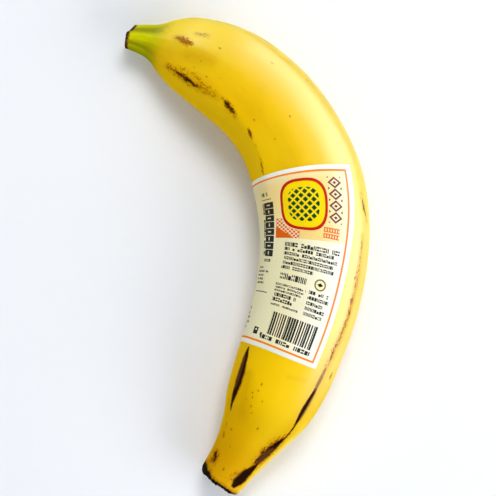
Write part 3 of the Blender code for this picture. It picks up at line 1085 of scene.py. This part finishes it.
class BANANA_OT_label(bpy.types.Operator):
    """Build the printed paper label in place of its plain solid"""

    bl_idname = "banana.label"
    bl_label = "Paper label"

    def execute(self, context):
        settings = context.scene.banana_label
        label = make_label(SKIN, settings)
        label.data.materials.append(label_finish(settings))
        label.data.materials.append(paper_back_finish())
        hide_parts("paper_label")
        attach(label, "root")
        return {"FINISHED"}


FRUIT_MIDDLE_HEIGHT = 0.017
PICTURE_MIDDLE = (-0.00605, -0.00047)
SENSOR = 36.0
LIGHT_DISTANCE = 1.0
LIGHT_AIM = Vector((0, 0, 0.015))
FLOOR_HALF = 1500.0

# The soft lights: direction round the table and height over it in degrees, width and height in
# metres, and power in watts. The sheen lights only show in what is glossy, the others elsewhere.
LIGHTS = (
    ("main_light", 63, 60, (0.35, 0.35), 4.8),
    ("side_light", -42, 30, (0.8, 0.6), 6.4),
    ("back_light", 98, 24, (0.7, 0.4), 1),
    ("rim_light", 196, 9, (0.7, 0.3), 0.75),
    ("overhead_fill", 0, 90, (4, 4), 18.6),
    ("low_fill", -120, 38, (0.8, 0.8), 1.3),
    ("near_sheen", -16, 15, (1.5, 0.6), 330),
    ("far_sheen", 38, 18, (1, 0.5), 180),
    ("neck_sheen", 104, 12, (0.5, 0.3), 40),
)


class BANANA_OT_stage(bpy.types.Operator):
    """Add the floor, the soft lights and the camera"""

    bl_idname = "banana.stage"
    bl_label = "Floor, lights and camera"

    def execute(self, context):
        scene = context.scene
        settings = scene.banana_stage
        self.add_floor(settings)
        self.add_camera(scene, settings)
        for name, turn, height, size, share in LIGHTS:
            lamp = self.add_light(name, turn, height, size, share * settings.brightness)
            lamp.visible_diffuse = "sheen" not in name
            lamp.visible_glossy = "sheen" in name
            if "fill" in name:
                lamp.data.color = settings.fill
        scene.view_settings.view_transform = "Standard"
        scene.view_settings.look = "None"
        return {"FINISHED"}

    def add_light(self, name, turn, height, size, power):
        """A large soft light, placed by its direction round the table and its height over it."""
        light = bpy.data.lights.new(name, "AREA")
        light.shape = "RECTANGLE"
        light.size, light.size_y = size
        light.energy = power
        turn, height = np.radians((turn, height))
        level = np.cos(height)
        place = np.array((level * np.cos(turn), level * np.sin(turn), np.sin(height)))
        lamp = put_in_scene(light)
        lamp.location = place * LIGHT_DISTANCE
        way = LIGHT_AIM - lamp.location
        lamp.rotation_euler = way.to_track_quat("-Z", "Y").to_euler()
        lamp.visible_camera = False
        light.cycles.use_multiple_importance_sampling = False
        return lamp

    def add_floor(self, settings):
        sides = (-FLOOR_HALF, FLOOR_HALF)
        corners = np.array([[(x, y, 0) for x in sides] for y in sides])
        floor = put_in_scene(mesh_of("floor", corners, grid_faces(numbered(corners))))
        f = Finish("floor")
        places = f.node("TexCoord", None, None, "Object")
        paper = f.noise(places, 0.004, 3.0, 0.6)
        colour = f.mix(paper.ease(0.3, 0.7) * 0.02, settings.floor, (0.8, 0.8, 0.82))
        f.surface(Base_Color=colour, Roughness=0.6, Specular_IOR_Level=0.0)
        floor.data.materials.append(f.material)

    def add_camera(self, scene, settings):
        lens_data = bpy.data.cameras.new("camera")
        reach = settings.camera_height - FRUIT_MIDDLE_HEIGHT
        lens_data.sensor_width = SENSOR
        lens_data.lens = SENSOR * reach / settings.field
        camera = put_in_scene(lens_data)
        camera.location = (*PICTURE_MIDDLE, settings.camera_height)
        camera.rotation_euler = (0, 0, settings.roll)
        scene.camera = camera


class BANANA_PT_panel(bpy.types.Panel):
    """Sizes, colours and buttons for the banana, in the 3D view's sidebar"""

    bl_label = "Ripe Banana"
    bl_idname = "BANANA_PT_panel"
    bl_space_type = "VIEW_3D"
    bl_region_type = "UI"
    bl_category = "Banana"

    def draw(self, context):
        for name, operator in zip(SETTINGS, OPERATORS):
            group = getattr(context.scene, name)
            box = self.layout.box()
            for key in group.__annotations__:
                box.prop(group, key)
            box.operator(operator.bl_idname)


SETTINGS = {
    "banana_skin": BananaSkinSettings,
    "banana_label": BananaLabelSettings,
    "banana_stage": BananaStageSettings,
}
OPERATORS = (BANANA_OT_fruit, BANANA_OT_label, BANANA_OT_stage)
SKIN = Skin()


def register():
    for name, group in SETTINGS.items():
        bpy.utils.register_class(group)
        setattr(bpy.types.Scene, name, PointerProperty(type=group))
    for operator in OPERATORS:
        bpy.utils.register_class(operator)
    bpy.utils.register_class(BANANA_PT_panel)


def unregister():
    bpy.utils.unregister_class(BANANA_PT_panel)
    for operator in OPERATORS:
        bpy.utils.unregister_class(operator)
    for name, group in SETTINGS.items():
        delattr(bpy.types.Scene, name)
        bpy.utils.unregister_class(group)


def main():
    register()
    SKIN.centre_on("banana")
    bpy.ops.banana.stage()
    bpy.ops.banana.fruit()
    bpy.ops.banana.label()


if __name__ == "__main__":
    main()
